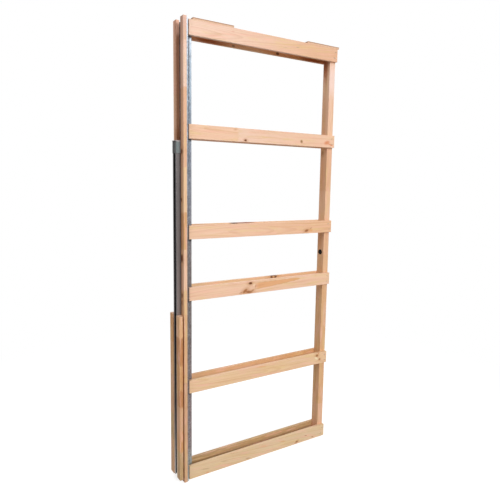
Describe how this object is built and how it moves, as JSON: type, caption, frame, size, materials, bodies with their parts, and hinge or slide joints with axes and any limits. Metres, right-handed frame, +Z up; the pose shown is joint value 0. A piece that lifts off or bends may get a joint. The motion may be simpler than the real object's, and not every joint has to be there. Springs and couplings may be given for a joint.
{
  "type": "pocket door frame",
  "caption": "Upright slatted softwood cassette for a sliding pocket door, with split steel-backed jambs, a rear post and its track header packed in the mouth.",
  "frame": {"origin": "on the floor under the centre of the overall box, midway between the two slatted walls", "axes": "+Z up, +X from the mouth with the packed header to the rear post, +Y from the front wall to the back wall"},
  "size_m": [0.89, 0.106, 2.092],
  "materials": {
    "pine_slat": "planed",
    "pine_upright": "planed",
    "pine_nailer": "planed",
    "pine_plate": "planed",
    "galvanised_steel": "galvanised",
    "track_aluminium": "mill",
    "cap_plastic": "moulded",
    "buffer_rubber": "matt"
  },
  "bodies": {
    "root": {"back_base_slat": "pine_slat", "back_head_slat": "pine_slat", "back_header_nailer": "pine_nailer", "back_jamb_steel": "galvanised_steel", "back_jamb_timber": "pine_upright", "back_lower_middle_slat": "pine_slat", "back_lower_slat": "pine_slat", "back_upper_middle_slat": "pine_slat", "back_upper_slat": "pine_slat", "door_buffer": "buffer_rubber", "front_base_slat": "pine_slat", "front_head_slat": "pine_slat", "front_header_nailer": "pine_nailer", "front_jamb_steel": "galvanised_steel", "front_jamb_timber": "pine_upright", "front_lower_middle_slat": "pine_slat", "front_lower_slat": "pine_slat", "front_upper_middle_slat": "pine_slat", "front_upper_slat": "pine_slat", "header_track": "track_aluminium", "mouth_tie_plate": "pine_plate", "rear_post": "pine_upright", "rear_tie_plate": "pine_plate", "track_end_cap": "cap_plastic"}
  },
  "joints": []
}
